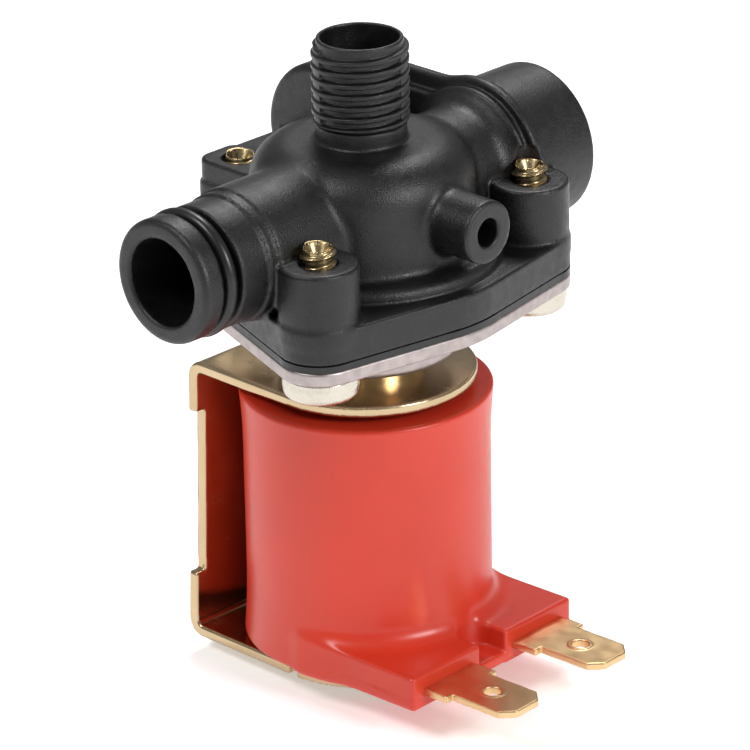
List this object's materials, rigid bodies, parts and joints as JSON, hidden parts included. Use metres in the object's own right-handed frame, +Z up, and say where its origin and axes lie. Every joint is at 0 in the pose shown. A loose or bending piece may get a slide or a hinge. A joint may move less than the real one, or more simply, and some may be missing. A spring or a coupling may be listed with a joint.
{
  "type": "solenoid valve",
  "caption": "Pilot-operated water solenoid valve with a plastic plug-together manifold body, threaded outlet, and a bracketed coil with blade terminals.",
  "frame": {"origin": "foot of the outlet thread, on the outlet axis", "axes": "+Z up the outlet, away from the coil; +Y along the manifold towards the socket; +X towards the terminals"},
  "size_m": [0.0538, 0.0572, 0.0725],
  "materials": {
    "body_plastic": "satin",
    "seal_rubber": "matte",
    "insert_plastic": "satin",
    "plate_steel": "satin",
    "screw_steel": "satin",
    "tube_steel": "polished",
    "collar_brass": "satin",
    "magnet_steel": "satin",
    "copper": "bright",
    "spring_steel": "bright",
    "bracket_steel": "satin yellow zinc",
    "coil_plastic": "satin gloss",
    "bobbin_plastic": "satin",
    "winding_wire": "enamelled copper",
    "terminal_brass": "bright"
  },
  "bodies": {
    "valve": {"valve_body": "body_plastic", "spigot_o_ring": "seal_rubber", "diaphragm": "seal_rubber", "bonnet_plate": "plate_steel", "plate_screw_front": "screw_steel", "plate_screw_back": "screw_steel", "plate_screw_side": "screw_steel", "tube_o_ring": "seal_rubber", "armature_tube": "tube_steel", "spacer_collar": "collar_brass", "fixed_core": "magnet_steel", "shading_ring": "copper", "retaining_clip": "collar_brass"},
    "diaphragm_centre": {"valve_pad": "seal_rubber", "diaphragm_insert": "insert_plastic"},
    "armature": {"plunger": "magnet_steel", "plunger_seal": "seal_rubber", "plunger_spring": "spring_steel"},
    "coil_unit": {"bracket": "bracket_steel", "coil_shell": "coil_plastic", "bobbin": "bobbin_plastic", "winding": "winding_wire", "terminal_near": "terminal_brass", "terminal_far": "terminal_brass", "lead_near": "winding_wire", "lead_far": "winding_wire"}
  },
  "joints": [
    {"name": "plunger_lift", "type": "slide", "parent": "valve", "child": "armature", "axis": [0, 0, -1], "range_m": [0, 0.0019], "stiffness_N_per_m": 300, "springref_m": -0.006, "deforming": ["plunger_spring"]},
    {"name": "diaphragm_lift", "type": "slide", "parent": "valve", "child": "diaphragm_centre", "axis": [0, 0, -1], "range_m": [0, 0.0012]},
    {"name": "coil_swivel", "type": "hinge", "parent": "valve", "child": "coil_unit", "pos_m": [0, 0, -0.045], "axis": [0, 0, 1], "continuous": true}
  ],
  "couplings": [
    {"joint": "diaphragm_lift", "follows": "plunger_lift", "ratio": 0.63}
  ]
}
